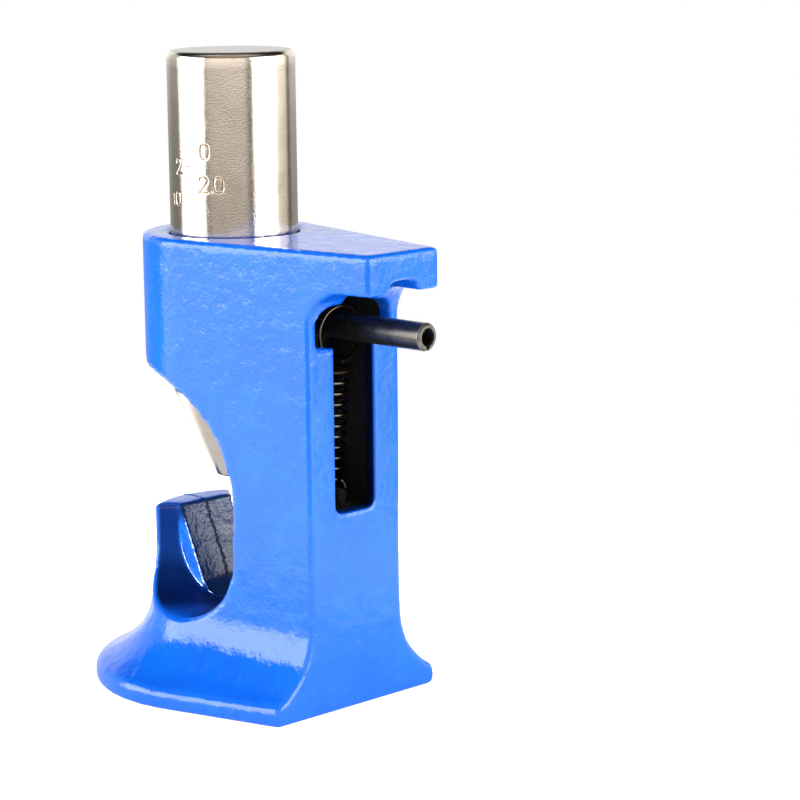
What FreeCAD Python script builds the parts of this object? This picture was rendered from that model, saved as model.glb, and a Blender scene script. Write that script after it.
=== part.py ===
import FreeCAD, Part
import math
import os

# Hammer-struck lug crimping tool: a C-shaped iron casting holds a round ram over
# a V-groove anvil. A spring pin through the ram sticks out of a T-shaped slot in
# the back of the column. The pin parks on the slot's ledges to hold the ram up,
# and an extension spring pulls it down onto the lug when it is let go.
#
# Millimetres. The origin is on the ram's axis, in the plane the base rests on.
# +Z is up along the ram, -Y is the open mouth and +Y the back with the slot.
# All pieces are drawn with the ram raised.

V = FreeCAD.Vector
UP = V(0, 0, 1)
BACKWARD = V(0, 1, 0)
SIDEWAYS = V(1, 0, 0)

# Ram
RAM_R = 14.0
RAM_TOP_Z = 140.3
RAM_TOP_ROUND = 1.6
RAM_CONE_TOP_Z = 65.5
RAM_TIP_Z = 46.2
RAM_TIP_R = 5.3
RAM_TIP_ROUND = 0.8
RAM_CLEARANCE = 0.06

# Spring pin, driven across the ram and turned to one side of the slot
PIN_R = 3.0
PIN_BORE_R = 1.95
PIN_SLIT = 1.1
PIN_END_CHAMFER = 0.45
PIN_Z = 82.9
PIN_TURN_DEG = 3.4
PIN_FRONT = -13.0
PIN_BACK = 57.0

# Head and column: one D-shaped outline, cut off further back in the head
HEAD_R = 20.2
COLUMN_HALF_WIDTH = 13.15
COLUMN_BACK_Y = 38.0
HEAD_TOP_Z = 100.9
BORE_START_Z = 57.0
BORE_MOUTH_CHAMFER = 0.7

# Hood that reaches back over the pin
HOOD_BACK_Y = 53.5
HOOD_UNDER_Z = 92.2
HOOD_HOLLOW_R = 8.0
HOOD_NOTCH_HALF = 4.4
HOOD_NOTCH_TOP_Z = 94.8
HOOD_NOTCH_ROUND = 2.6

# Base and the flare that runs down into its lip: at each height, the share of
# the way from the column's outline (0) out to the base's outline (1)
BASE_R = 33.4
BASE_HALF_WIDTH = 23.1
BASE_LIP_Z = 3.4
FLARE = (
    (4.3, 0.955),
    (5.3, 0.83),
    (7.2, 0.575),
    (8.9, 0.41),
    (10.5, 0.28),
    (12.1, 0.185),
    (13.6, 0.12),
    (15.0, 0.075),
    (17.0, 0.03),
    (19.5, 0.006),
    (22.0, 0.0),
)
BASE_FOOT_CHAMFER = 0.6

# Mouth between head and anvil
ANVIL_TOP_Z = 38.2
MOUTH_TOP_Z = 72.0
MOUTH_BACK_Y = 17.35
MOUTH_ROUND_R = 29.0

# V-groove anvil
GROOVE_HALF_WIDTH = 12.4
GROOVE_HALF_ANGLE_DEG = 24.5
GROOVE_BOTTOM_R = 5.7
ANVIL_HALF_THICKNESS = 7.4

# U-shaped pockets that thin the anvil from both sides, wider towards the outside
POCKET_INNER_FLOOR_Z = 19.0
POCKET_INNER_MID_Z = 31.5
POCKET_INNER_FRONT_Y = -12.5
POCKET_INNER_MID_Y = 0.6
POCKET_INNER_BACK_Y = 14.8
POCKET_OUTER_X = 20.5
POCKET_OUTER_FLOOR_Z = 16.6
POCKET_OUTER_MID_Z = 31.5
POCKET_OUTER_FRONT_Y = -27.6
POCKET_OUTER_MID_Y = 1.6
POCKET_OUTER_BACK_Y = 17.35

# Slot, window and spring chamber in the column
SLOT_HALF_WIDTH = 5.6
SLOT_FLOOR_Z = 43.6
SLOT_CORNER_R = 2.0
WINDOW_HALF_WIDTH = 10.65
WINDOW_LEDGE_Z = 79.8
WINDOW_TOP_Z = 88.8
WINDOW_CORNER_R = 4.0
WINDOW_HALF_AT_BORE = 6.4
CHAMBER_HALF_WIDTH = 8.0
CHAMBER_FRONT_Y = 20.4
CHAMBER_BACK_Y = 35.0
PIN_PATH_HALF = 4.6
PIN_PATH_FLOOR_Z = 55.5

# Extension spring: its upper hook goes round the pin, its lower one round a peg
# cast on the chamber's front wall. The coil leans back towards the pin.
WIRE_R = 0.42
COIL_R = 5.2
COIL_TURNS = 11
COIL_LEAN_DEG = 4.5
HOOK_R = 6.0
HOOK_CENTRE = V(0, 33.8, 81.4)
HOOK_SWEEP_DEG = 325
HOOK_OVERLAP_DEG = 5
COIL_LENGTH = 26.0
FOOT_R = 2.6
PEG_R = 1.5
PEG_END_Y = 34.0

FAR = 60.0


def tangent_angle(radius, x, y):
    """Direction of the circle's point where a line through (x, y) touches it."""
    return math.atan2(y, x) - math.acos(radius / math.hypot(x, y))


def d_outline(radius, half_width, back_y, z):
    """A round front about the ram's axis, with straight sides to the back edge."""
    angle = tangent_angle(radius, half_width, back_y)
    side_x = radius * math.cos(angle)
    side_y = radius * math.sin(angle)
    back_right = V(half_width, back_y, z)
    right = V(side_x, side_y, z)
    front = V(0, -radius, z)
    left = V(-side_x, side_y, z)
    back_left = V(-half_width, back_y, z)
    edges = [
        Part.LineSegment(back_right, right).toShape(),
        Part.Arc(right, front, left).toShape(),
        Part.LineSegment(left, back_left).toShape(),
        Part.LineSegment(back_left, back_right).toShape(),
    ]
    return Part.Wire(edges)


def side_x_at(y):
    """Half width of the head at a distance y behind the ram's axis."""
    angle = tangent_angle(HEAD_R, COLUMN_HALF_WIDTH, COLUMN_BACK_Y)
    return (HEAD_R - y * math.sin(angle)) / math.cos(angle)


def prism(wire, direction):
    return Part.Face(wire).extrude(direction)


def box(x0, x1, y0, y1, z0, z1):
    return Part.makeBox(x1 - x0, y1 - y0, z1 - z0, V(x0, y0, z0))


def rounded_opening(half_width, z0, z1, y0, y1, low_r, high_r):
    """A straight opening along Y with rounded lower and upper corners."""
    opening = box(-half_width, half_width, y0, y1, z0, z1)
    for z, radius in ((z0, low_r), (z1, high_r)):
        if radius > 0:
            corners = [e for e in opening.Edges if is_corner(e, half_width, z)]
            opening = opening.makeFillet(radius, corners)
    return opening


def is_corner(edge, half_width, z):
    """Whether an edge runs along Y in one of an opening's two corners at z."""
    middle = edge.BoundBox.Center
    along_y = edge.BoundBox.YLength > 1.0
    at_side = abs(abs(middle.x) - half_width) < 0.01
    return along_y and at_side and abs(middle.z - z) < 0.01


def pin_direction():
    turn = math.radians(PIN_TURN_DEG)
    return V(-math.sin(turn), math.cos(turn), 0)


def flare_wire(z, share):
    radius = HEAD_R + share * (BASE_R - HEAD_R)
    half_width = COLUMN_HALF_WIDTH + share * (BASE_HALF_WIDTH - COLUMN_HALF_WIDTH)
    return d_outline(radius, half_width, COLUMN_BACK_Y, z)


def outer_block():
    """Base flare, column and head, before anything is cut out of them."""
    wires = [flare_wire(z, share) for z, share in FLARE]
    foot = prism(flare_wire(0, 1), V(0, 0, BASE_LIP_Z))
    lip = Part.makeLoft([flare_wire(BASE_LIP_Z, 1), wires[0]], True, True)
    flare = Part.makeLoft(wires, True, False)
    top_of_flare = FLARE[-1][0]
    column = prism(
        d_outline(HEAD_R, COLUMN_HALF_WIDTH, COLUMN_BACK_Y, top_of_flare),
        V(0, 0, HEAD_TOP_Z - top_of_flare),
    )
    hood_start_z = HOOD_UNDER_Z - HOOD_HOLLOW_R
    hood = prism(
        d_outline(HEAD_R, side_x_at(HOOD_BACK_Y), HOOD_BACK_Y, hood_start_z),
        V(0, 0, HEAD_TOP_Z - hood_start_z),
    )
    hood = hood.cut(under_hood())
    body = foot.fuse([lip, flare, column, hood])
    return body.removeSplitter()


def under_hood():
    """The space under the hood, with a hollow round where it meets the column."""
    low_z = HOOD_UNDER_Z - HOOD_HOLLOW_R
    on_column = V(-FAR, COLUMN_BACK_Y, low_z)
    on_hood = V(-FAR, COLUMN_BACK_Y + HOOD_HOLLOW_R, HOOD_UNDER_Z)
    slant = HOOD_HOLLOW_R * (1 - math.sqrt(0.5))
    middle = V(-FAR, COLUMN_BACK_Y + slant, HOOD_UNDER_Z - slant)
    far_high = V(-FAR, FAR + 5, HOOD_UNDER_Z)
    far_low = V(-FAR, FAR + 5, low_z - 5)
    near_low = V(-FAR, COLUMN_BACK_Y, low_z - 5)
    edges = [
        Part.Arc(on_column, middle, on_hood).toShape(),
        Part.LineSegment(on_hood, far_high).toShape(),
        Part.LineSegment(far_high, far_low).toShape(),
        Part.LineSegment(far_low, near_low).toShape(),
        Part.LineSegment(near_low, on_column).toShape(),
    ]
    return prism(Part.Wire(edges), V(2 * FAR, 0, 0))


def mouth():
    """The open C between head and anvil, straight through from side to side."""
    centre_y = MOUTH_BACK_Y - MOUTH_ROUND_R
    centre_z = MOUTH_TOP_Z - MOUTH_ROUND_R
    slant = MOUTH_ROUND_R * math.sqrt(0.5)
    low_front = V(-FAR, -FAR, ANVIL_TOP_Z)
    low_back = V(-FAR, MOUTH_BACK_Y, ANVIL_TOP_Z)
    arc_low = V(-FAR, MOUTH_BACK_Y, centre_z)
    arc_middle = V(-FAR, centre_y + slant, centre_z + slant)
    arc_high = V(-FAR, centre_y, MOUTH_TOP_Z)
    high_front = V(-FAR, -FAR, MOUTH_TOP_Z)
    edges = [
        Part.LineSegment(low_front, low_back).toShape(),
        Part.LineSegment(low_back, arc_low).toShape(),
        Part.Arc(arc_low, arc_middle, arc_high).toShape(),
        Part.LineSegment(arc_high, high_front).toShape(),
        Part.LineSegment(high_front, low_front).toShape(),
    ]
    return prism(Part.Wire(edges), V(2 * FAR, 0, 0))


def quarter_ellipse(start, corner, end):
    """Exact quarter of an ellipse that touches both legs of a right angle."""
    curve = Part.BezierCurve()
    curve.setPoles([start, corner, end])
    curve.setWeight(2, math.sqrt(0.5))
    return curve.toShape()


def pocket_wire(x, front_y, middle_y, back_y, middle_z, floor_z):
    """U-shaped outline of a side pocket in the plane at x."""
    top_z = ANVIL_TOP_Z + 6
    front_top = V(x, front_y, top_z)
    front_low = V(x, front_y, middle_z)
    floor = V(x, middle_y, floor_z)
    back_low = V(x, back_y, middle_z)
    back_top = V(x, back_y, top_z)
    edges = [
        Part.LineSegment(front_top, front_low).toShape(),
        quarter_ellipse(front_low, V(x, front_y, floor_z), floor),
        quarter_ellipse(floor, V(x, back_y, floor_z), back_low),
        Part.LineSegment(back_low, back_top).toShape(),
        Part.LineSegment(back_top, front_top).toShape(),
    ]
    return Part.Wire(edges)


def side_pocket(side):
    inner = pocket_wire(
        side * ANVIL_HALF_THICKNESS,
        POCKET_INNER_FRONT_Y,
        POCKET_INNER_MID_Y,
        POCKET_INNER_BACK_Y,
        POCKET_INNER_MID_Z,
        POCKET_INNER_FLOOR_Z,
    )
    outer = pocket_wire(
        side * POCKET_OUTER_X,
        POCKET_OUTER_FRONT_Y,
        POCKET_OUTER_MID_Y,
        POCKET_OUTER_BACK_Y,
        POCKET_OUTER_MID_Z,
        POCKET_OUTER_FLOOR_Z,
    )
    funnel = Part.makeLoft([inner, outer], True, True)
    outside = prism(outer, V(side * FAR, 0, 0))
    return funnel.fuse(outside)


def groove():
    """V with a round bottom, across the anvil from side to side."""
    half_angle = math.radians(GROOVE_HALF_ANGLE_DEG)
    apex_z = ANVIL_TOP_Z - GROOVE_HALF_WIDTH / math.tan(half_angle)
    centre_z = apex_z + GROOVE_BOTTOM_R / math.sin(half_angle)
    touch_y = GROOVE_BOTTOM_R * math.cos(half_angle)
    touch_z = centre_z - GROOVE_BOTTOM_R * math.sin(half_angle)
    x = -ANVIL_HALF_THICKNESS - 1.0
    front_top = V(x, -GROOVE_HALF_WIDTH, ANVIL_TOP_Z)
    front_low = V(x, -touch_y, touch_z)
    bottom = V(x, 0, centre_z - GROOVE_BOTTOM_R)
    back_low = V(x, touch_y, touch_z)
    back_top = V(x, GROOVE_HALF_WIDTH, ANVIL_TOP_Z)
    back_over = V(x, GROOVE_HALF_WIDTH, ANVIL_TOP_Z + 2)
    front_over = V(x, -GROOVE_HALF_WIDTH, ANVIL_TOP_Z + 2)
    edges = [
        Part.LineSegment(front_top, front_low).toShape(),
        Part.Arc(front_low, bottom, back_low).toShape(),
        Part.LineSegment(back_low, back_top).toShape(),
        Part.LineSegment(back_top, back_over).toShape(),
        Part.LineSegment(back_over, front_over).toShape(),
        Part.LineSegment(front_over, front_top).toShape(),
    ]
    return prism(Part.Wire(edges), V(-2 * x, 0, 0))


def ram_bore():
    """The head's bore. It starts low in the mouth and is chamfered at its top."""
    radius = RAM_R + RAM_CLEARANCE
    hole = Part.makeCylinder(
        radius, HEAD_TOP_Z - BORE_START_Z + 1, V(0, 0, BORE_START_Z)
    )
    mouth_cone = Part.makeCone(
        radius,
        radius + BORE_MOUTH_CHAMFER + 1,
        BORE_MOUTH_CHAMFER + 1,
        V(0, 0, HEAD_TOP_Z - BORE_MOUTH_CHAMFER),
    )
    return hole.fuse(mouth_cone)


def window():
    """Upper arms of the T: tapers from the back face to the ram's bore."""
    opening = rounded_opening(
        WINDOW_HALF_WIDTH,
        WINDOW_LEDGE_Z,
        WINDOW_TOP_Z,
        RAM_R - 3,
        FAR,
        0.8,
        WINDOW_CORNER_R,
    )
    corners = [
        V(-WINDOW_HALF_AT_BORE, RAM_R - 4, 0),
        V(WINDOW_HALF_AT_BORE, RAM_R - 4, 0),
        V(WINDOW_HALF_WIDTH + 1, CHAMBER_BACK_Y, 0),
        V(WINDOW_HALF_WIDTH + 1, FAR + 1, 0),
        V(-WINDOW_HALF_WIDTH - 1, FAR + 1, 0),
        V(-WINDOW_HALF_WIDTH - 1, CHAMBER_BACK_Y, 0),
    ]
    plan = prism(Part.makePolygon(corners + corners[:1]), V(0, 0, HEAD_TOP_Z))
    return opening.common(plan)


def column_openings():
    slot = rounded_opening(
        SLOT_HALF_WIDTH,
        SLOT_FLOOR_Z,
        WINDOW_LEDGE_Z + 3,
        CHAMBER_BACK_Y - 5,
        FAR,
        SLOT_CORNER_R,
        0,
    )
    chamber = box(
        -CHAMBER_HALF_WIDTH,
        CHAMBER_HALF_WIDTH,
        CHAMBER_FRONT_Y,
        CHAMBER_BACK_Y,
        SLOT_FLOOR_Z,
        WINDOW_TOP_Z,
    )
    pin_path = box(
        -PIN_PATH_HALF,
        PIN_PATH_HALF,
        RAM_R - 4,
        CHAMBER_FRONT_Y + 1,
        PIN_PATH_FLOOR_Z,
        WINDOW_TOP_Z - 1,
    )
    notch = rounded_opening(
        HOOD_NOTCH_HALF,
        WINDOW_TOP_Z - 4,
        HOOD_NOTCH_TOP_Z,
        CHAMBER_BACK_Y - 6,
        FAR,
        0,
        HOOD_NOTCH_ROUND,
    )
    return [slot, chamber, pin_path, window(), notch]


def body_casting():
    body = outer_block()
    cuts = [mouth(), groove(), side_pocket(1), side_pocket(-1), ram_bore()]
    body = body.cut(cuts + column_openings())
    peg_low_z = foot_centre().z - FOOT_R + WIRE_R
    peg_start = V(0, CHAMBER_FRONT_Y - 1, peg_low_z + PEG_R)
    peg = Part.makeCylinder(PEG_R, PEG_END_Y - peg_start.y, peg_start, BACKWARD)
    body = body.fuse(peg).removeSplitter()
    foot = [edge for edge in body.Edges if edge.BoundBox.ZMax < 0.01]
    return body.makeChamfer(BASE_FOOT_CHAMFER, foot)


def round_edges_at(solid, z, radius):
    """Rounds the circular edge of a turned solid at height z."""
    edges = [
        edge
        for edge in solid.Edges
        if abs(edge.BoundBox.ZMin - z) < 0.01 and edge.BoundBox.ZLength < 0.02
    ]
    return solid.makeFillet(radius, edges)


def ram():
    profile = [
        V(0, 0, RAM_TIP_Z),
        V(RAM_TIP_R, 0, RAM_TIP_Z),
        V(RAM_R, 0, RAM_CONE_TOP_Z),
        V(RAM_R, 0, RAM_TOP_Z),
        V(0, 0, RAM_TOP_Z),
    ]
    face = Part.Face(Part.makePolygon(profile + profile[:1]))
    turned = face.revolve(V(0, 0, 0), UP, 360)
    turned = round_edges_at(turned, RAM_TOP_Z, RAM_TOP_ROUND)
    turned = round_edges_at(turned, RAM_TIP_Z, RAM_TIP_ROUND)
    start = V(0, 0, PIN_Z) - pin_direction() * 2 * RAM_R
    cross_hole = Part.makeCylinder(PIN_R, 4 * RAM_R, start, pin_direction())
    return turned.cut(cross_hole)


def spring_pin():
    start = V(0, 0, PIN_Z) + pin_direction() * PIN_FRONT
    length = PIN_BACK - PIN_FRONT
    tube = Part.makeCylinder(PIN_R, length, start, pin_direction())
    ends = [e for e in tube.Edges if e.Closed]
    tube = tube.makeChamfer(PIN_END_CHAMFER, ends)
    tube = tube.cut(Part.makeCylinder(PIN_BORE_R, length, start, pin_direction()))
    slit = Part.makeBox(PIN_SLIT, length + 2, PIN_R + 1, V(-PIN_SLIT / 2, -1, -PIN_R - 1))
    slit.rotate(V(0, 0, 0), UP, PIN_TURN_DEG)
    slit.translate(start)
    return tube.cut(slit)


def coil_ends():
    """Centres of the coil's last and first turns, below the hook's lowest point."""
    lean = math.radians(COIL_LEAN_DEG)
    along = V(0, math.sin(lean), math.cos(lean))
    backmost = V(0, math.cos(lean), -math.sin(lean)) * COIL_R
    high = HOOK_CENTRE - UP * HOOK_R - backmost
    return high - along * COIL_LENGTH, high, backmost


def foot_centre():
    low, high, backmost = coil_ends()
    return low + backmost - UP * FOOT_R


def wire_hook(centre, radius, start_side, sweep_deg):
    """A nearly closed ring of wire across Y that starts below or above its centre."""
    start = centre + UP * (radius * start_side)
    section = Part.Face(Part.Wire(Part.makeCircle(WIRE_R, start, SIDEWAYS)))
    hook = section.revolve(centre, BACKWARD, sweep_deg)
    hook.rotate(centre, BACKWARD, -math.copysign(HOOK_OVERLAP_DEG, sweep_deg))
    return hook


def coil():
    low, high, backmost = coil_ends()
    helix = Part.makeHelix(COIL_LENGTH / COIL_TURNS, COIL_LENGTH, COIL_R)
    path = Part.Wire(helix.Edges)
    first = path.Edges[0]
    start = first.valueAt(first.FirstParameter)
    tangent = first.tangentAt(first.FirstParameter)
    section = Part.Wire(Part.makeCircle(WIRE_R, start, tangent))
    solid = path.makePipeShell([section], True, True)
    solid.rotate(V(0, 0, 0), UP, 90)
    solid.rotate(V(0, 0, 0), SIDEWAYS, -COIL_LEAN_DEG)
    solid.translate(low)
    return solid


def extension_spring():
    hook = wire_hook(HOOK_CENTRE, HOOK_R, -1, HOOK_SWEEP_DEG)
    foot = wire_hook(foot_centre(), FOOT_R, 1, HOOK_SWEEP_DEG)
    return coil().fuse(hook).fuse(foot)


def write(name, shape):
    if not shape.isValid():
        raise ValueError(name + " is not valid")
    if len(shape.Solids) != 1:
        raise ValueError(name + " is not one solid")
    shape.exportStep("parts/" + name + ".step")


os.makedirs("parts", exist_ok=True)
write("body_casting", body_casting())
write("ram", ram())
write("spring_pin", spring_pin())
write("extension_spring", extension_spring())
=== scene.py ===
import bmesh
import bpy
import math
import numpy as np
from mathutils import Matrix, Vector, noise


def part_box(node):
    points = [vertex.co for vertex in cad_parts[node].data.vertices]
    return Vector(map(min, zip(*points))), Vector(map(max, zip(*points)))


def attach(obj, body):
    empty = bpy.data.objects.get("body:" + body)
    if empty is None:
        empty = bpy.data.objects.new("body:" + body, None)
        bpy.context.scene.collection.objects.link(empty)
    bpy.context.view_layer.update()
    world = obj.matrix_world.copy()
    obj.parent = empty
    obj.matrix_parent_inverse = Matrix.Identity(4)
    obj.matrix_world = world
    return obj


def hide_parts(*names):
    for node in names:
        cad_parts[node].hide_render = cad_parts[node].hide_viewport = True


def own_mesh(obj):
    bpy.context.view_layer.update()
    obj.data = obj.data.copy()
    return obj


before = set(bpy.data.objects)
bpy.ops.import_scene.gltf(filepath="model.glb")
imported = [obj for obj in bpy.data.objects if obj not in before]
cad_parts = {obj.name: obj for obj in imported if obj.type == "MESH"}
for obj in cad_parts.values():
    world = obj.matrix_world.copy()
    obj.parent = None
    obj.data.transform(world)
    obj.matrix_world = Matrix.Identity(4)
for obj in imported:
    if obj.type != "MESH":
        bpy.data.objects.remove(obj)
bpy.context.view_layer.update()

MM = 0.001
UP = Vector((0, 0, 1))
RAM_LOW, RAM_HIGH = (corner.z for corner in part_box("ram"))

# -------------------------------------------------- shader node shorthands


class Shader:
    """One node material, with short calls for the nodes used below."""

    def __init__(self, name):
        self.material = bpy.data.materials.new(name)
        self.material.use_nodes = True
        self.nodes = self.material.node_tree.nodes
        self.links = self.material.node_tree.links
        self.main = self.nodes["Principled BSDF"]

    def set(self, **values):
        for name, value in values.items():
            self.main.inputs[name.replace("_", " ")].default_value = value

    def feed(self, name, source):
        self.links.new(source, self.main.inputs[name])

    def put(self, socket, value):
        if isinstance(value, bpy.types.NodeSocket):
            self.links.new(value, socket)
        else:
            socket.default_value = value

    def place(self, stretch=(1, 1, 1)):
        """Row-frame coordinates in metres, stretched along each axis."""
        coordinates = self.nodes.new("ShaderNodeTexCoord")
        mapping = self.nodes.new("ShaderNodeMapping")
        mapping.inputs["Scale"].default_value = stretch
        self.links.new(coordinates.outputs["Object"], mapping.inputs["Vector"])
        return mapping.outputs["Vector"]

    def axes(self):
        split = self.nodes.new("ShaderNodeSeparateXYZ")
        self.links.new(self.place(), split.inputs["Vector"])
        return split.outputs["X"], split.outputs["Y"], split.outputs["Z"]

    def noise(self, scale, detail=2.0, rough=0.5, where=None):
        node = self.nodes.new("ShaderNodeTexNoise")
        node.inputs["Scale"].default_value = scale
        node.inputs["Detail"].default_value = detail
        node.inputs["Roughness"].default_value = rough
        self.links.new(where or self.place(), node.inputs["Vector"])
        return node.outputs["Fac"]

    def ramp(self, value, *stops):
        """Stops are (place, grey) or (place, (r, g, b))."""
        node = self.nodes.new("ShaderNodeValToRGB")
        elements = node.color_ramp.elements
        while len(elements) < len(stops):
            elements.new(0.5)
        for element, (place, color) in zip(elements, stops):
            element.position = place
            rgb = color if isinstance(color, tuple) else (color,) * 3
            element.color = (*rgb, 1)
        self.links.new(value, node.inputs["Fac"])
        return node.outputs["Color"]

    def step(self, value, low, high):
        """0 below low and 1 above high, smooth between; low may be above high."""
        node = self.nodes.new("ShaderNodeMapRange")
        node.interpolation_type = "SMOOTHSTEP"
        node.inputs["From Min"].default_value = low
        node.inputs["From Max"].default_value = high
        self.links.new(value, node.inputs["Value"])
        return node.outputs["Result"]

    def math(self, operation, a, b=0.0):
        node = self.nodes.new("ShaderNodeMath")
        node.operation = operation
        self.put(node.inputs[0], a)
        self.put(node.inputs[1], b)
        return node.outputs["Value"]

    def times(self, first, *others):
        for other in others:
            first = self.math("MULTIPLY", first, other)
        return first

    def mix(self, factor, a, b, blend="MIX"):
        node = self.nodes.new("ShaderNodeMix")
        node.data_type = "RGBA"
        node.blend_type = blend
        for index, value in ((0, factor), (6, a), (7, b)):
            if isinstance(value, tuple):
                value = (*value, 1)
            self.put(node.inputs[index], value)
        return node.outputs[2]

    def bump(self, height, strength, distance, under=None):
        node = self.nodes.new("ShaderNodeBump")
        self.put(node.inputs["Strength"], strength)
        node.inputs["Distance"].default_value = distance
        self.links.new(height, node.inputs["Height"])
        if under is not None:
            self.links.new(under, node.inputs["Normal"])
        return node.outputs["Normal"]

    def attribute(self, name):
        node = self.nodes.new("ShaderNodeAttribute")
        node.attribute_name = name
        return node.outputs["Fac"]


# --------------------------------------------------------------- materials

ENAMEL_DEEP = (0.0032, 0.124, 0.76)
ENAMEL_LIGHT = (0.0050, 0.150, 0.84)
GROOVE_DARK = (0.006, 0.036, 0.125)
CHAMBER_BLACK = (0.003, 0.003, 0.004)


def enamel():
    """Thick glossy blue enamel over a rough casting, near black in the chamber, with painted shade
    in the pocket and on the slot's walls.
    """
    s = Shader("enamel_blue")
    x, y, z = s.axes()
    sideways = s.math("ABSOLUTE", x)
    cloud = s.noise(70, 3, 0.55)
    color = s.ramp(cloud, (0.3, ENAMEL_DEEP), (0.7, ENAMEL_LIGHT))
    mottle = s.ramp(s.noise(520, 3, 0.6), (0.35, 0.90), (0.65, 1.0))
    color = s.mix(1.0, color, mottle, "MULTIPLY")
    # the groove's faces: darker, and bumpier
    across = s.math("ABSOLUTE", y)
    in_groove = s.times(
        s.step(sideways, 0.0077, 0.0070),
        s.step(across, 0.0133, 0.0126),
        s.step(z, 0.0384, 0.0380),
        s.step(z, 0.0170, 0.0180),
    )
    radius = s.math("SQRT", s.math("ADD", s.times(x, x), s.times(y, y)))
    # a crescent of the web's side by the groove's bottom is left out of the pocket's painted shade
    crescent = s.times(
        s.step(sideways, 0.0079, 0.0075), s.step(z, 0.0356, 0.0325)
    )
    beside_web = s.step(sideways, 0.0066, 0.0072)
    in_reach = s.step(radius, 0.0198, 0.0188)
    above_base = s.step(z, 0.0165, 0.0185)
    pocket_shade = s.times(
        beside_web,
        in_reach,
        s.step(y, 0.0172, 0.0160),
        s.step(z, 0.0384, 0.0376),
        above_base,
        s.math("SUBTRACT", 1.0, crescent),
    )
    # painted shade: the pocket's slanted faces are painted near-black blue, for the shade and dark
    # reflections in the pocket
    color = s.mix(s.times(pocket_shade, 0.86), color, (0.0004, 0.014, 0.10))
    color = s.mix(in_groove, color, GROOVE_DARK)
    # painted shade: the slot's side walls are painted deep blue, for the shade inside the slot
    slot_wall = s.times(
        s.step(sideways, 0.0078, 0.0071),
        s.step(y, 0.0380, 0.0374),
        s.step(y, 0.0330, 0.0340),
        s.step(z, 0.0430, 0.0440),
        s.step(z, 0.0905, 0.0895),
    )
    color = s.mix(s.times(slot_wall, 0.92), color, (0.0002, 0.010, 0.06))
    # the spring chamber and the bore behind the slot: near black
    in_chamber = s.times(
        s.step(sideways, 0.0125, 0.0115),
        s.step(y, 0.0352, 0.0347),
        s.step(y, 0.0180, 0.0190),
        s.step(z, 0.0405, 0.0425),
        s.step(z, 0.0915, 0.0905),
    )
    in_bore = s.times(
        s.step(radius, 0.0148, 0.0144), s.step(z, 0.060, 0.062), s.step(z, 0.1006, 0.1)
    )
    dark = s.math("MAXIMUM", in_chamber, in_bore)
    color = s.mix(dark, color, CHAMBER_BLACK)
    s.feed("Base Color", color)
    rough = s.ramp(s.noise(240, 2), (0.3, 0.08), (0.7, 0.15))
    s.set(IOR=1.47)
    # the web's two sides, the pockets and the slot's inside are made mostly metallic and duller, so
    # that their reflections take their own dark colour: painted dark reflections
    web_side = s.times(beside_web, in_reach, s.step(z, 0.0378, 0.0366), above_base)
    dull = s.math("MAXIMUM", web_side, slot_wall)
    s.feed("Metallic", s.times(dull, 0.88))
    rough = s.mix(dull, rough, (0.45,) * 3)
    s.feed("Roughness", s.mix(dark, rough, (0.75,) * 3))
    waves = s.noise(230, 1, 0.4)
    skin = s.noise(1300, 2, 0.55)
    peel = s.noise(520, 2, 0.5)
    normal = s.bump(waves, 0.36, 0.0006)
    normal = s.bump(peel, 0.26, 0.0004, normal)
    normal = s.bump(skin, 0.45, 0.00016, normal)
    lumps = s.noise(1100, 2, 0.6)
    rougher = s.math("MAXIMUM", s.times(in_groove, 0.13), s.times(dark, 0.8))
    normal = s.bump(lumps, rougher, 0.0005, normal)
    s.feed("Normal", normal)
    return s.material


def nickel():
    """Nickel plate over a turned and tumbled bar, with dark engraved marks."""
    s = Shader("nickel_plate")
    color = s.ramp(
        s.noise(120, 3, 0.6), (0.3, (0.60, 0.54, 0.47)), (0.7, (0.68, 0.62, 0.55))
    )
    engraved = s.attribute("engraved")
    patchy = s.ramp(s.noise(900, 2), (0.35, 0.6), (0.65, 1.0))
    color = s.mix(s.times(engraved, patchy), color, (0.22, 0.14, 0.075))
    z = s.axes()[2]
    struck = s.step(z, RAM_HIGH - 0.0003, RAM_HIGH - 0.0001)
    color = s.mix(struck, color, (0.56, 0.555, 0.54))
    s.feed("Base Color", color)
    s.set(Metallic=1.0)
    rough = s.ramp(s.noise(600, 2, 0.6), (0.3, 0.08), (0.7, 0.15))
    s.feed("Roughness", s.mix(struck, rough, (0.34,) * 3))
    normal = s.bump(s.noise(800, 1, 0.5), 0.035, 0.00008)
    normal = s.bump(s.noise(3000, 2, 0.6), 0.42, 0.00006, normal)
    s.feed("Normal", normal)
    return s.material


PIN_TURN = math.radians(3.4)


def black_oxide():
    """Black oxide with bare steel on the pin's sheared end, and a little lighter over the stretch
    before it.
    """
    s = Shader("black_oxide")
    x, y, _ = s.axes()
    cloud = s.noise(400, 3, 0.6)
    color = s.ramp(cloud, (0.3, (0.034, 0.032, 0.030)), (0.75, (0.070, 0.066, 0.060)))
    along = s.math(
        "ADD",
        s.times(x, -math.sin(PIN_TURN)),
        s.times(y, math.cos(PIN_TURN)),
    )
    bare = s.step(along, 0.0560, 0.0569)
    # the pin is a little lighter over the stretch before its end
    lighter_to_end = s.times(s.step(along, 0.044, 0.056), 0.10)
    end_tone = s.math("MAXIMUM", bare, lighter_to_end)
    s.feed("Base Color", s.mix(end_tone, color, (0.17, 0.16, 0.148)))
    s.set(Metallic=0.85)
    s.feed("Roughness", s.ramp(cloud, (0.3, 0.24), (0.7, 0.34)))
    streak = s.noise(1500, 2, 0.5, s.place((1, 0.08, 1)))
    s.feed("Normal", s.bump(streak, 0.15, 0.00004))
    return s.material


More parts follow.
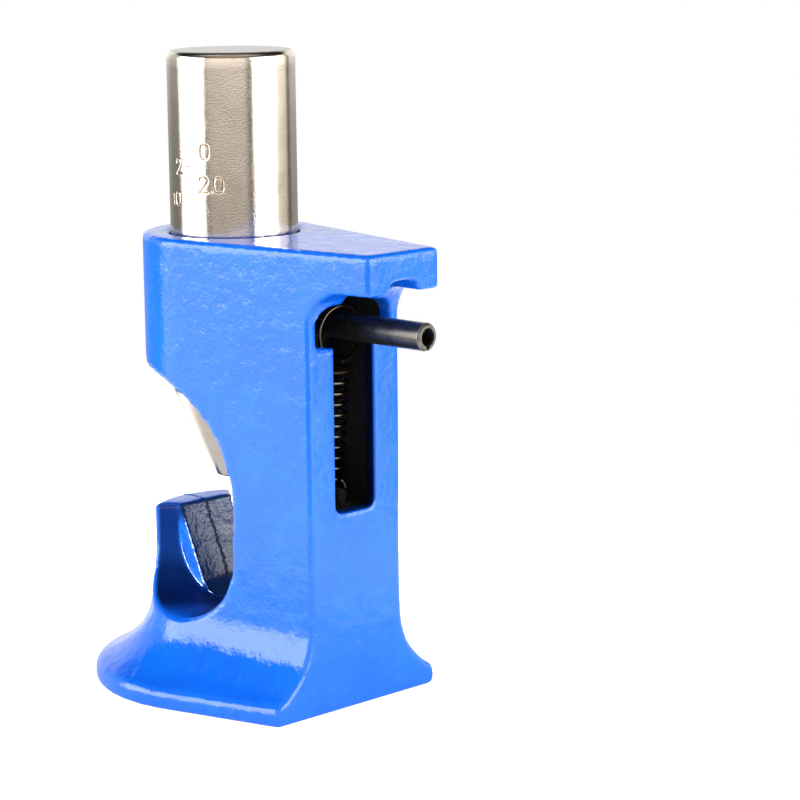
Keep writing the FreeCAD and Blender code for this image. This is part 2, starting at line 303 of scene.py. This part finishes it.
def spring_wire():
    """Dark brown steel wire, painted near black on the far side of its hook and on its foot as
    painted shade.
    """
    s = Shader("spring_wire")
    x, _, z = s.axes()
    cloud = s.noise(700, 3, 0.6)
    color = s.ramp(cloud, (0.3, (0.05, 0.037, 0.026)), (0.7, (0.11, 0.085, 0.06)))
    hook = s.step(z, 0.0722, 0.0736)
    far_side = s.math("MAXIMUM", s.step(x, 0.0012, -0.0008), s.step(z, 0.0768, 0.0752))
    foot = s.step(z, 0.0478, 0.0470)
    # painted shade: the far side of the hook and the foot are near black and dull
    shade_black = s.math("MAXIMUM", s.times(hook, far_side), foot)
    s.feed("Base Color", s.mix(shade_black, color, (0.006, 0.005, 0.004)))
    s.set(Metallic=1.0)
    rough = s.ramp(cloud, (0.3, 0.18), (0.7, 0.28))
    s.feed("Roughness", s.mix(shade_black, rough, (0.6,) * 3))
    return s.material


def rubbed_edge():
    """Iron shining where lugs have rubbed the enamel off an edge."""
    s = Shader("rubbed_edge")
    color = s.ramp(
        s.noise(1800, 2, 0.6), (0.38, (0.05, 0.20, 0.75)), (0.56, (0.80, 0.84, 0.90))
    )
    s.feed("Base Color", color)
    s.set(Metallic=1.0)
    s.feed("Roughness", s.ramp(s.noise(900), (0.3, 0.22), (0.7, 0.34)))
    s.feed("Normal", s.bump(s.noise(2600, 2), 0.5, 0.0001))
    return s.material


def seam_shadow():
    """Painted shadow at the bottom of the parting seam: near black."""
    s = Shader("seam_painted_shadow")
    s.feed("Base Color", s.ramp(s.noise(2500), (0.3, 0.002), (0.7, 0.012)))
    s.set(Roughness=0.8)
    return s.material


ENAMEL = enamel()
SEAM_SHADOW = seam_shadow()
NICKEL = nickel()
BLACK_OXIDE = black_oxide()
SPRING_WIRE = spring_wire()
RUBBED_EDGE = rubbed_edge()

# ------------------------------------------------------------------ camera

CAMERA_AT = Vector((0.3761, 0.4416, 0.1748))
CAMERA_AZIMUTH = math.radians(136.02)
CAMERA_DOWN = math.radians(11.0)
CAMERA_ROLL = math.radians(-0.59)
CAMERA_LENS = 119.1


def add_camera():
    back = Vector(
        (
            math.sin(CAMERA_AZIMUTH) * math.cos(CAMERA_DOWN),
            -math.cos(CAMERA_AZIMUTH) * math.cos(CAMERA_DOWN),
            math.sin(CAMERA_DOWN),
        )
    )
    level = (-back).cross(UP).normalized()
    above = back.cross(level)
    right = level * math.cos(CAMERA_ROLL) + above * math.sin(CAMERA_ROLL)
    up = above * math.cos(CAMERA_ROLL) - level * math.sin(CAMERA_ROLL)
    data = bpy.data.cameras.new("camera")
    data.lens = CAMERA_LENS
    data.sensor_width = 36
    data.clip_end = 20
    camera = bpy.data.objects.new("camera", data)
    turn = Matrix((right, up, back)).transposed().to_4x4()
    camera.matrix_world = Matrix.Translation(CAMERA_AT) @ turn
    bpy.context.collection.objects.link(camera)
    bpy.context.scene.camera = camera


add_camera()

# --------------------------------------------------------- floor and light


def new_object(name, data):
    obj = bpy.data.objects.new(name, data)
    bpy.context.collection.objects.link(obj)
    return obj


def grid_mesh(name, rows, wrap=False, close_ends=False):
    """A mesh over rows of points; wrap joins each row's last point to its first."""
    rows = [list(row) for row in rows]
    width = len(rows[0])
    verts = [tuple(p) for row in rows for p in row]
    faces = []
    for i in range(len(rows) - 1):
        for j in range(width if wrap else width - 1):
            k = (j + 1) % width
            faces.append((i * width + j, i * width + k, (i + 1) * width + k, (i + 1) * width + j))
    if close_ends:
        faces.append(tuple(reversed(range(width))))
        faces.append(tuple((len(rows) - 1) * width + j for j in range(width)))
    data = bpy.data.meshes.new(name)
    data.from_pydata(verts, [], faces)
    data.update()
    return data


FLOOR_R = 0.3


def add_floor():
    """A round pale table top."""
    count = 96
    profile = [(0.001, 0.0), (FLOOR_R * 0.5, 0.0), (FLOOR_R, 0.0)]
    rows = [
        [
            (r * math.cos(2 * math.pi * i / count), r * math.sin(2 * math.pi * i / count), h)
            for i in range(count)
        ]
        for r, h in profile
    ]
    data = grid_mesh("floor", rows, wrap=True)
    data.flip_normals()
    floor = new_object("floor", data)
    s = Shader("floor_white")
    s.feed("Base Color", s.ramp(s.noise(6), (0.3, 0.90), (0.7, 0.93)))
    s.set(Roughness=0.7, Emission_Color=(1, 1, 1, 1))
    x, y, _ = s.axes()
    radius = s.math("SQRT", s.math("ADD", s.times(x, x), s.times(y, y)))
    # lit from below, more so further out; seen directly it is plain white
    glow = s.math("ADD", s.times(s.step(radius, 0.075, 0.14), 1.3), 0.12)
    seen = s.nodes.new("ShaderNodeLightPath")
    glow = s.math("ADD", glow, s.times(seen.outputs["Is Camera Ray"], 0.8))
    s.feed("Emission Strength", glow)
    # the table top fades out before its rim, so that no edge shows behind the tool
    clear = s.nodes.new("ShaderNodeBsdfTransparent")
    fade = s.nodes.new("ShaderNodeMixShader")
    s.links.new(s.step(radius, FLOOR_R * 0.4, FLOOR_R * 0.97), fade.inputs[0])
    s.links.new(s.main.outputs[0], fade.inputs[1])
    s.links.new(clear.outputs[0], fade.inputs[2])
    s.links.new(fade.outputs[0], s.nodes["Material Output"].inputs["Surface"])
    data.materials.append(s.material)


CAMERA_TOWARDS = (math.sin(CAMERA_AZIMUTH), -math.cos(CAMERA_AZIMUTH))


def add_world():
    """A studio with bright walls at both sides, greyer behind and before the tool."""
    world = bpy.data.worlds.new("studio")
    world.use_nodes = True
    bpy.context.scene.world = world
    nodes, links = world.node_tree.nodes, world.node_tree.links
    background = nodes["Background"]

    def math_node(operation, a, b=0.0, c=0.0):
        node = nodes.new("ShaderNodeMath")
        node.operation = operation
        for socket, value in zip(node.inputs, (a, b, c)):
            if isinstance(value, (int, float)):
                socket.default_value = value
            else:
                links.new(value, socket)
        return node.outputs["Value"]

    def ramp(value, stops):
        node = nodes.new("ShaderNodeValToRGB")
        elements = node.color_ramp.elements
        while len(elements) < len(stops):
            elements.new(0.5)
        for element, (place, rgb) in zip(elements, stops):
            element.position = place
            element.color = (*rgb, 1)
        links.new(value, node.inputs["Fac"])
        return node.outputs["Color"]

    coordinates = nodes.new("ShaderNodeTexCoord")
    split = nodes.new("ShaderNodeSeparateXYZ")
    links.new(coordinates.outputs["Generated"], split.inputs["Vector"])
    x, y, z = split.outputs
    level = math_node(
        "SQRT", math_node("ADD", math_node("MULTIPLY", x, x), math_node("MULTIPLY", y, y))
    )
    towards = math_node(
        "ADD",
        math_node("MULTIPLY", x, CAMERA_TOWARDS[0]),
        math_node("MULTIPLY", y, CAMERA_TOWARDS[1]),
    )
    share = math_node("DIVIDE", towards, math_node("MAXIMUM", level, 0.001))
    around = math_node("MULTIPLY_ADD", share, 0.5, 0.5)
    # around is 0 straight behind the tool and 1 straight behind the camera
    left = [
        (0.0, (0.150, 0.150, 0.148)),
        (0.09, (0.146, 0.146, 0.144)),
        (0.14, (0.105, 0.105, 0.097)),
        (0.37, (0.085, 0.085, 0.078)),
        (0.41, (0.95, 0.95, 0.95)),
        (0.825, (1.0, 1.0, 1.0)),
        (0.834, (0.02, 0.018, 0.015)),
        (0.850, (0.03, 0.027, 0.023)),
        (0.880, (0.186, 0.174, 0.162)),
        (1.0, (0.196, 0.183, 0.170)),
    ]
    right = [
        (0.0, (0.150, 0.150, 0.148)),
        (0.16, (0.160, 0.156, 0.148)),
        (0.20, (0.045, 0.040, 0.032)),
        (0.25, (0.050, 0.045, 0.036)),
        (0.27, (0.250, 0.236, 0.205)),
        (0.50, (0.36, 0.35, 0.32)),
        (0.55, (0.95, 0.95, 0.95)),
        (0.862, (1.0, 1.0, 1.0)),
        (0.872, (0.03, 0.027, 0.022)),
        (0.905, (0.055, 0.050, 0.043)),
        (0.945, (0.186, 0.174, 0.162)),
        (1.0, (0.196, 0.183, 0.170)),
    ]
    to_right = math_node(
        "ADD",
        math_node("MULTIPLY", x, CAMERA_TOWARDS[1]),
        math_node("MULTIPLY", y, -CAMERA_TOWARDS[0]),
    )

    def blend(operation, factor, a, b):
        node = nodes.new("ShaderNodeMix")
        node.data_type = "RGBA"
        node.blend_type = operation
        for index, value in ((0, factor), (6, a), (7, b)):
            if isinstance(value, (int, float)):
                node.inputs[index].default_value = value
            else:
                links.new(value, node.inputs[index])
        return node.outputs[2]

    is_left = math_node("GREATER_THAN", to_right, 0.0)
    walls = blend("MIX", is_left, ramp(around, right), ramp(around, left))
    height = ramp(
        math_node("MULTIPLY_ADD", z, 0.5, 0.5),
        [
            (0.0, (0.30, 0.30, 0.30)),
            (0.455, (0.31, 0.31, 0.31)),
            (0.49, (1.0, 1.0, 1.0)),
            (0.73, (1.0, 1.0, 1.0)),
            (0.76, (0.02, 0.02, 0.02)),
            (0.89, (0.02, 0.02, 0.02)),
            (1.0, (0.14, 0.14, 0.14)),
        ],
    )
    # a weak fill above the camera, in the rounding of the ram's top
    fill_side = ramp(around, [(0.84, (0.0,) * 3), (0.90, (0.045, 0.040, 0.033))])
    fill_high = ramp(
        math_node("MULTIPLY_ADD", z, 0.5, 0.5), [(0.70, (0.0,) * 3), (0.75, (1.0,) * 3)]
    )
    lit = blend("MULTIPLY", 1.0, walls, height)
    lit = blend("ADD", 1.0, lit, blend("MULTIPLY", 1.0, fill_side, fill_high))
    links.new(lit, background.inputs["Color"])
    background.inputs["Strength"].default_value = 8.0
    backdrop = nodes.new("ShaderNodeBackground")
    backdrop.inputs["Color"].default_value = (1, 1, 1, 1)
    seen = nodes.new("ShaderNodeLightPath")
    choose = nodes.new("ShaderNodeMixShader")
    links.new(seen.outputs["Is Camera Ray"], choose.inputs[0])
    links.new(background.outputs[0], choose.inputs[1])
    links.new(backdrop.outputs[0], choose.inputs[2])
    links.new(choose.outputs[0], nodes["World Output"].inputs["Surface"])


add_floor()
add_world()
bpy.context.scene.view_settings.view_transform = "Standard"

# ------------------------------------------------------------ mesh helpers


def evaluated_mesh(obj, name):
    graph = bpy.context.evaluated_depsgraph_get()
    data = bpy.data.meshes.new_from_object(obj.evaluated_get(graph), depsgraph=graph)
    data.name = name
    return data


def points_of(data):
    co = np.zeros(len(data.vertices) * 3)
    data.vertices.foreach_get("co", co)
    return co.reshape(-1, 3)


def set_points(data, co):
    data.vertices.foreach_set("co", co.astype(np.float32).ravel())
    data.update()


def soften(data, passes, weight):
    """Rounds edges: moves each point towards its neighbours' mean, weight by weight."""
    ends = np.zeros(len(data.edges) * 2, int)
    data.edges.foreach_get("vertices", ends)
    ends = ends.reshape(-1, 2)
    count = np.bincount(ends.ravel(), minlength=len(data.vertices))[:, None]
    co = points_of(data)
    for _ in range(passes):
        total = np.zeros_like(co)
        for axis in range(3):
            total[:, axis] = np.bincount(
                ends[:, 0], co[ends[:, 1], axis], len(co)
            ) + np.bincount(ends[:, 1], co[ends[:, 0], axis], len(co))
        co += (total / count - co) * weight[:, None]
    return co


BLEND = 0.002
TINY = 1e-6


def between(value, low, high):
    """1 inside low..high, falling to 0 over the distance BLEND outside."""
    return np.clip(np.minimum(value - low, high - value) / BLEND + 1, 0, 1)


# ----------------------------------------------------------------- casting

SHELL_VOXEL = 0.00058
# how far edges are rounded, and how much less at the anvil and round the slot
SOFT_PASSES, SOFT_WEIGHT, CRISP_SHARE = 4, 0.8, 0.55
# the bore for the ram: its radius, its lower end in the mouth, and the radius from
# which points count as its wall
BORE_R, BORE_LOW_Z, BORE_WALL_FROM = 0.01415, 0.0550, 0.011
# points this near an exact surface are put onto it, over the last stretch in part
MOUTH_SNAP, GROOVE_SNAP, SNAP_FADE = 0.0011, 0.0010, 0.0004
# the mouth's back: an arc above MOUTH_ARC_Z, upright below it
MOUTH_ARC_R = 0.029
MOUTH_ARC_Y, MOUTH_ARC_Z = -0.01165, 0.043
MOUTH_FLAT = 0.0045


def true_mouth(co):
    """Puts the points near the mouth's back onto its exact arc and flat."""
    y, z = co[:, 1] - MOUTH_ARC_Y, co[:, 2] - MOUTH_ARC_Z
    on_arc = (z > 0) & (y > 0)
    on_flat = (z <= 0) & (z > -MOUTH_FLAT) & (y > 0)
    radius = np.maximum(np.hypot(y, z), TINY)
    off = np.where(on_arc, radius - MOUTH_ARC_R, y - MOUTH_ARC_R)
    share = np.clip((MOUTH_SNAP - abs(off)) / SNAP_FADE, 0, 1)
    arc_share = np.where(on_arc, share, 0)
    co[:, 1] -= arc_share * off * y / radius
    co[:, 2] -= arc_share * off * z / radius
    co[:, 1] -= np.where(on_flat, share * off, 0)


# the anvil's V-groove: half its angle, its bottom's radius, half its width and its top
GROOVE_ANGLE = math.radians(24.5)
GROOVE_R = 0.0057
GROOVE_HALF, GROOVE_TOP = 0.0124, 0.0382
GROOVE_APEX = GROOVE_TOP - GROOVE_HALF / math.tan(GROOVE_ANGLE)
GROOVE_CENTRE = GROOVE_APEX + GROOVE_R / math.sin(GROOVE_ANGLE)
# the box round the groove in which its points are looked for
GROOVE_NEAR_X, GROOVE_NEAR_Y, GROOVE_NEAR_Z = 0.0080, 0.0138, 0.0380


def true_groove(co):
    """Puts the points near the groove's faces onto the exact V and its round bottom."""
    x, y, z = co.T.copy()
    near = (abs(x) < GROOVE_NEAR_X) & (abs(y) < GROOVE_NEAR_Y)
    fade = np.clip((GROOVE_NEAR_Z - z) / 0.0003, 0, 1) * near
    up = z - GROOVE_CENTRE
    radius = np.maximum(np.hypot(y, up), TINY)
    round_part = up < -GROOVE_R * math.sin(GROOVE_ANGLE)
    depth = (abs(y) - (z - GROOVE_APEX) * math.tan(GROOVE_ANGLE)) * math.cos(GROOVE_ANGLE)
    off = np.where(round_part, radius - GROOVE_R, depth)
    share = np.clip((GROOVE_SNAP - abs(off)) / SNAP_FADE, 0, 1) * fade * off
    co[:, 1] -= share * np.where(
        round_part, y / radius, np.sign(y) * math.cos(GROOVE_ANGLE)
    )
    co[:, 2] -= share * np.where(round_part, up / radius, -math.sin(GROOVE_ANGLE))


def casting_shell():
    """The casting with the soft, thickly enamelled edges that a CAD solid lacks."""
    source = new_object("shell_source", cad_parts["body_casting"].data.copy())
    remesh = source.modifiers.new("remesh", "REMESH")
    remesh.mode = "VOXEL"
    remesh.voxel_size = SHELL_VOXEL
    data = evaluated_mesh(source, "casting_shell")
    bpy.data.objects.remove(source)
    co = points_of(data)
    x, y, z = co.T
    anvil = between(z, 0.018, 0.037) * between(abs(x), 0, 0.0091)
    anvil *= between(y, -0.016, 0.015)
    slot = between(z, 0.044, 0.091) * between(abs(x), 0, 0.0135)
    slot *= between(y, 0.034, 0.042)
    weight = np.full(len(co), SOFT_WEIGHT)
    weight -= CRISP_SHARE * np.maximum(anvil, slot)
    co = soften(data, SOFT_PASSES, weight)
    co[:, 2] = np.maximum(co[:, 2], 0.0)
    true_mouth(co)
    true_groove(co)
    radius = np.hypot(co[:, 0], co[:, 1])
    in_bore = (co[:, 2] > BORE_LOW_Z) & (radius < BORE_R) & (radius > BORE_WALL_FROM)
    push = np.where(in_bore, BORE_R / np.maximum(radius, TINY), 1.0)
    co[:, :2] *= push[:, None]
    set_points(data, co)
    data.shade_smooth()
    data.materials.clear()
    data.materials.append(ENAMEL)
    shell = new_object("casting_shell", data)
    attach(shell, "frame")
    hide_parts("body_casting")


casting_shell()

# across the seam and above the wall, in mm; both ends are sunk in the wall
SEAM_SECTION = (
    (-0.8, -0.3),
    (-0.5, 0.17),
    (-0.3, 0.03),
    (0.28, 0.03),
    (0.5, 0.17),
    (0.8, -0.3),
)
SEAM_VALLEY = 2
SEAM_TOP_Z = 0.03795
SEAM_STEP = 0.25 * MM


def seam_path():
    """The anvil's outline at its middle, in mm: top, groove and top again."""
    half_angle, bottom_r = GROOVE_ANGLE, GROOVE_R / MM
    top, half_width, centre = GROOVE_TOP / MM, GROOVE_HALF / MM, GROOVE_CENTRE / MM
    points = [Vector((0, -19.2, top)), Vector((0, -16, top)), Vector((0, -13.2, top))]
    touch = Vector((0, -bottom_r * math.cos(half_angle), centre - bottom_r * math.sin(half_angle)))
    start = Vector((0, -half_width + 0.5 * math.tan(half_angle), top - 0.5))
    points += [start.lerp(touch, i / 24) for i in range(25)]
    for i in range(1, 20):
        a = math.pi + half_angle + (math.pi - 2 * half_angle) * i / 20
        points.append(Vector((0, math.cos(a) * bottom_r, centre + math.sin(a) * bottom_r)))
    mirrored = [Vector((0, -p.y, p.z)) for p in reversed(points[:28])]
    return [p * MM for p in points + mirrored[:-2]]


def parting_seam():
    """The ragged double ridge, with a painted shadow between, that the two mould halves left."""
    path = seam_path()
    dense = []
    for a, b in zip(path, path[1:]):
        steps = max(1, round((b - a).length / SEAM_STEP))
        dense += [a.lerp(b, i / steps) for i in range(steps)]
    dense.append(path[-1])
    rows = []
    for i, p in enumerate(dense):
        along = (dense[min(i + 3, len(dense) - 1)] - dense[max(i - 3, 0)]).normalized()
        out = Vector((1, 0, 0)).cross(along)
        if out.z < 0:
            out = -out
        wander = noise.noise(p * 600) * 0.5 + noise.noise(p * 3200) * 0.45
        lift = min(0.8 + noise.noise(p * 1700 + Vector((3, 1, 2))) * 1.5, 1.2)
        if p.z > SEAM_TOP_Z:
            wander, lift = wander * 0.3, 0.3
        rows.append(
            [
                p + (Vector((1, 0, 0)) * (u * 0.8 + wander) + out * (h * max(lift, 0.25))) * MM
                for u, h in SEAM_SECTION
            ]
        )
    data = grid_mesh("parting_seam", rows)
    data.shade_smooth()
    data.materials.append(ENAMEL)
    data.materials.append(SEAM_SHADOW)
    for face in data.polygons:
        if face.index % (len(SEAM_SECTION) - 1) == SEAM_VALLEY:
            face.material_index = 1
    seam = new_object("parting_seam", data)
    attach(seam, "frame")


parting_seam()

# the beads of rubbed iron, in mm
EDGE_X = 7.32
EDGE_R = 0.2
EDGE_TOP_Z = 35.2
POCKET_MIDDLE = (0.6, 31.5)
POCKET_REACH = (13.1, 12.5)


def rubbed_edges():
    """Thin ragged beads of bare iron along both edges of the web's two sides."""
    half_angle, bottom_r = GROOVE_ANGLE, GROOVE_R / MM
    apex, centre = GROOVE_APEX / MM, GROOVE_CENTRE / MM
    groove = []
    for i in range(41):
        z = EDGE_TOP_Z + (centre - bottom_r * math.sin(half_angle) - EDGE_TOP_Z) * i / 40
        groove.append((-(z - apex) * math.tan(half_angle), z))
    for i in range(1, 16):
        a = math.pi + half_angle + (math.pi / 2 - half_angle) * i / 15
        groove.append((math.cos(a) * bottom_r, centre + math.sin(a) * bottom_r))
    pocket = []
    for i in range(56):
        a = math.radians(8 + 74 * i / 55)
        pocket.append(
            (
                POCKET_MIDDLE[0] - POCKET_REACH[0] * math.cos(a),
                POCKET_MIDDLE[1] - POCKET_REACH[1] * math.sin(a),
            )
        )
    lines = (("groove", groove, EDGE_X, -0.10), ("pocket", pocket, EDGE_X + 0.3, 0.3))
    for side in (-1, 1):
        for title, line, edge_x, inset in lines:
            rows = []
            for i, (y, z) in enumerate(line):
                y0, z0 = line[max(i - 1, 0)]
                y1, z1 = line[min(i + 1, len(line) - 1)]
                along = Vector((0, y1 - y0, z1 - z0)).normalized()
                across = Vector((1, 0, 0)).cross(along)
                if across.y < 0:
                    across = -across
                p = Vector((side * edge_x, y, z)) + across * inset
                taper = min(1, i / 8, (len(line) - 1 - i) / 6 + 0.2)
                swell = 0.75 + noise.noise(p * 1.3) * 0.7
                r = EDGE_R * max(taper * swell, 0.1)
                wobble = across * noise.noise(p * 3.7) * 0.10
                rows.append(
                    [
                        (p + wobble + (across * math.cos(a) + Vector((math.sin(a), 0, 0))) * r) * MM
                        for a in np.linspace(0, 2 * math.pi, 8, endpoint=False)
                    ]
                )
            data = grid_mesh("rubbed_edge", rows, wrap=True, close_ends=True)
            data.shade_smooth()
            data.materials.append(RUBBED_EDGE)
            bead = new_object(f"rubbed_{title}_{'near' if side > 0 else 'far'}", data)
            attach(bead, "frame")


rubbed_edges()

# --------------------------------------------------------------------- ram

RAM_R = 0.014
CONE_TOP = 0.0655
TIP_R = 0.0053
# the engraved scale, in mm round the ram and in mm of height
SCALE_TICKS = (119.35, 115.85, 112.35, 108.85)
TICK_FROM, TICK_TO = 0.6, 3.5
DIGITS = {
    "0": [[(-1, 0.45), (-0.75, 0.85), (0, 1), (0.75, 0.85), (1, 0.45), (1, -0.45),
           (0.75, -0.85), (0, -1), (-0.75, -0.85), (-1, -0.45), (-1, 0.45)]],
    "1": [[(-0.5, 0.6), (0.1, 1), (0.1, -1)]],
    "2": [[(-0.95, 0.5), (-0.7, 0.88), (0, 1), (0.75, 0.85), (0.95, 0.45), (0.7, 0.05),
           (-0.95, -1), (1, -1)]],
    ".": [[(-0.1, -0.9), (0.1, -0.9)]],
}
# a character, its middle round the ram and in height, half its width and half its height
SCALE_LABELS = (
    ("0", 5.8, 119.25, 0.95, 1.6),
    ("2", 5.45, 112.2, 1.0, 1.7),
    (".", 7.15, 112.2, 1.0, 1.7),
    ("0", 8.85, 112.2, 1.0, 1.7),
    ("2", -1.6, 115.85, 0.95, 1.6),
    ("1", -4.3, 108.8, 0.9, 1.4),
    ("0", -2.2, 108.8, 0.9, 1.4),
)
STROKE_HALF = 0.135
STROKE_DEPTH = 0.12
# where the ram's mesh is fine: heights in metres and angles round the ram
SCALE_LOW, SCALE_HIGH, HEIGHT_STEP, FINE_HEIGHT_STEP = 0.1066, 0.1217, 0.002, 0.00013
SCALE_FROM, SCALE_TO = -0.5, 0.78
TURN_STEP, FINE_TURN_STEP = math.radians(2.4), math.radians(0.54)
# further from any stroke than its mark reaches, in mm
NO_STROKE = 9.0


def scale_strokes():
    """Engraved lines as pairs of points: mm round the ram, and mm of height."""
    lines = [((TICK_FROM, z), (TICK_TO, z)) for z in SCALE_TICKS]
    for digit, middle, z, half_width, half_height in SCALE_LABELS:
        for path in DIGITS[digit]:
            ends = [(middle + a * half_width, z + b * half_height) for a, b in path]
            lines += list(zip(ends, ends[1:]))
    return lines


def fine_steps(stops, coarse, fine, low, high):
    """Positions from the first stop up to the last: fine steps from low to high."""
    inside = np.arange(low, high, fine)
    outside = [
        v
        for a, b in zip(stops, stops[1:])
        for v in np.linspace(a, b, max(1, round((b - a) / coarse)), endpoint=False)
        if not low - fine / 2 <= v < high
    ]
    return np.sort(np.concatenate([inside, outside]))


def ram_profile():
    """Radius at each height, from the tip's middle to the top's middle."""
    tip_round, top_round = 0.0008, 0.0016
    half_angle = math.atan2(RAM_R - TIP_R, CONE_TOP - RAM_LOW)
    points = [(r, RAM_LOW) for r in (0.0002, 0.0015, 0.003, TIP_R - tip_round * 1.1)]
    reach = tip_round * math.tan((math.pi / 2 - half_angle) / 2)
    centre_r, centre_z = TIP_R - reach, RAM_LOW + tip_round
    for i in range(7):
        a = -math.pi / 2 + (math.pi / 2 - half_angle) * i / 6
        points.append(
            (centre_r + tip_round * math.cos(a), centre_z + tip_round * math.sin(a))
        )
    cone_from = points[-1]
    for i in range(1, 20):
        t = i / 19
        points.append(
            (
                cone_from[0] + (RAM_R - cone_from[0]) * t,
                cone_from[1] + (CONE_TOP - cone_from[1]) * t,
            )
        )
    ends = [CONE_TOP + 0.0004, RAM_HIGH - top_round]
    heights = fine_steps(ends, HEIGHT_STEP, FINE_HEIGHT_STEP, SCALE_LOW, SCALE_HIGH)
    points += [(RAM_R, z) for z in heights]
    for i in range(9):
        a = math.pi / 2 * i / 8
        points.append(
            (
                RAM_R - top_round + top_round * math.cos(a),
                RAM_HIGH - top_round + top_round * math.sin(a),
            )
        )
    points += [(r, RAM_HIGH) for r in (0.0110, 0.0095, 0.007, 0.0045, 0.002, 0.0002)]
    return points


def ram_piece():
    ends = [-math.pi, 0, math.pi]
    turns = fine_steps(ends, TURN_STEP, FINE_TURN_STEP, SCALE_FROM, SCALE_TO)
    profile = ram_profile()
    rows = [
        [(r * math.cos(a), r * math.sin(a), z) for a in turns] for r, z in profile
    ]
    data = grid_mesh("ram_bar", rows, wrap=True, close_ends=True)
    co = points_of(data)
    u = np.arctan2(co[:, 1], co[:, 0]) * RAM_R / MM
    h = co[:, 2] / MM
    near = np.full(len(co), NO_STROKE)
    for (u0, h0), (u1, h1) in scale_strokes():
        du, dh = u1 - u0, h1 - h0
        t = np.clip(((u - u0) * du + (h - h0) * dh) / (du * du + dh * dh), 0, 1)
        near = np.minimum(near, np.hypot(u - u0 - t * du, h - h0 - t * dh))
    near[(h < 100) | (h > 125)] = NO_STROKE
    cut = np.clip(1 - (near / (STROKE_HALF * 1.7)) ** 2, 0, 1)
    radius = np.hypot(co[:, 0], co[:, 1])
    co[:, :2] *= (1 - cut * STROKE_DEPTH * MM / radius)[:, None]
    set_points(data, co)
    mark = data.attributes.new("engraved", "FLOAT", "POINT")
    mark.data.foreach_set("value", np.clip(cut * 1.3, 0, 1).astype(np.float32))
    source = new_object("ram_source", data)
    drill = new_object("ram_drill", drill_mesh())
    cross = source.modifiers.new("cross_hole", "BOOLEAN")
    cross.operation = "DIFFERENCE"
    cross.solver = "EXACT"
    cross.object = drill
    data = evaluated_mesh(source, "ram_bar")
    bpy.data.objects.remove(source)
    bpy.data.objects.remove(drill)
    data.shade_smooth()
    data.materials.clear()
    data.materials.append(NICKEL)
    ram = new_object("ram_bar", data)
    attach(ram, "ram")
    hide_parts("ram")


PIN_Z = 0.0829
PIN_ALONG = Vector((-math.sin(PIN_TURN), math.cos(PIN_TURN), 0))
PIN_SIDE = PIN_ALONG.cross(UP)
PIN_R = 0.003
DRILL_R = PIN_R + 0.00002
DRILL_REACH = 0.02


def drill_mesh():
    rows = []
    for reach in (-DRILL_REACH, DRILL_REACH):
        middle = UP * PIN_Z + PIN_ALONG * reach
        rows.append(
            [
                middle + (PIN_SIDE * math.cos(a) + UP * math.sin(a)) * DRILL_R
                for a in np.linspace(0, 2 * math.pi, 48, endpoint=False)
            ]
        )
    data = grid_mesh("ram_drill", rows, wrap=True, close_ends=True)
    mesh = bmesh.new()
    mesh.from_mesh(data)
    bmesh.ops.recalc_face_normals(mesh, faces=mesh.faces)
    mesh.to_mesh(data)
    mesh.free()
    return data


ram_piece()

# ------------------------------------------------------------------ spring

WIRE_R = 0.42 * MM
COIL_R = 5.2 * MM
COIL_TURNS = 11
COIL_LEAN = math.radians(4.5)
COIL_LENGTH = 26 * MM
HOOK_CENTRE = Vector((0, 33.8, 81.4)) * MM
HOOK_R = 6 * MM
FOOT_R = 2.6 * MM
LOOP_SWEEP = 325
# the wire's rounded ends: beyond the end and across, in wire radii
WIRE_END = ((0.6, 0.45), (0.3, 0.85))


def wire_mesh(name, path, sides=10):
    """A round wire along a list of points, with rounded-off ends."""
    rows = []
    side = None
    last = len(path) - 1
    for i, p in enumerate(path):
        along = (path[min(i + 1, last)] - path[max(i - 1, 0)]).normalized()
        if side is None:
            side = along.orthogonal().normalized()
        side = (side - along * side.dot(along)).normalized()
        other = along.cross(side)
        ring = [
            (side * math.cos(a) + other * math.sin(a)) * WIRE_R
            for a in np.linspace(0, 2 * math.pi, sides, endpoint=False)
        ]
        if i == 0:
            for beyond, across in WIRE_END:
                rows.append([p - along * WIRE_R * beyond + r * across for r in ring])
        rows.append([p + r for r in ring])
        if i == last:
            for beyond, across in reversed(WIRE_END):
                rows.append([p + along * WIRE_R * beyond + r * across for r in ring])
    data = grid_mesh(name, rows, wrap=True, close_ends=True)
    data.shade_smooth()
    data.materials.append(SPRING_WIRE)
    return new_object(name, data)


def ring_path(centre, radius, start_side, sweep_deg):
    """Points on a ring across Y, from its top (1) or bottom (-1)."""
    points = []
    steps = 64
    for i in range(steps + 1):
        a = math.radians(sweep_deg) * i / steps
        points.append(
            centre
            + UP * (start_side * radius * math.cos(a))
            + Vector((start_side * radius * math.sin(a), 0, 0))
        )
    return points


def spring_pieces():
    along = Vector((0, math.sin(COIL_LEAN), math.cos(COIL_LEAN)))
    backmost = Vector((0, math.cos(COIL_LEAN), -math.sin(COIL_LEAN))) * COIL_R
    sideways = Vector((1, 0, 0)) * COIL_R
    high = HOOK_CENTRE - UP * HOOK_R - backmost
    low = high - along * COIL_LENGTH
    steps = COIL_TURNS * 40
    path = []
    for i in range(steps + 1):
        t = i / steps
        a = 2 * math.pi * COIL_TURNS * t
        path.append(
            low + along * (COIL_LENGTH * t) + backmost * math.cos(a) + sideways * math.sin(a)
        )
    coil = wire_mesh("spring_coil", path)
    hook = wire_mesh("spring_hook", ring_path(HOOK_CENTRE, HOOK_R, -1, LOOP_SWEEP))
    foot_centre = path[0] - UP * FOOT_R
    foot = wire_mesh("spring_foot", ring_path(foot_centre, FOOT_R, 1, LOOP_SWEEP))
    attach(coil, "frame")
    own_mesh(coil)
    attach(hook, "spring")
    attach(foot, "frame")
    for piece in (coil, hook, foot):
        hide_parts("extension_spring")


spring_pieces()

# --------------------------------------------------------------------- pin


def set_material(node, material):
    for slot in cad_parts[node].material_slots:
        slot.material = material


set_material("spring_pin", BLACK_OXIDE)
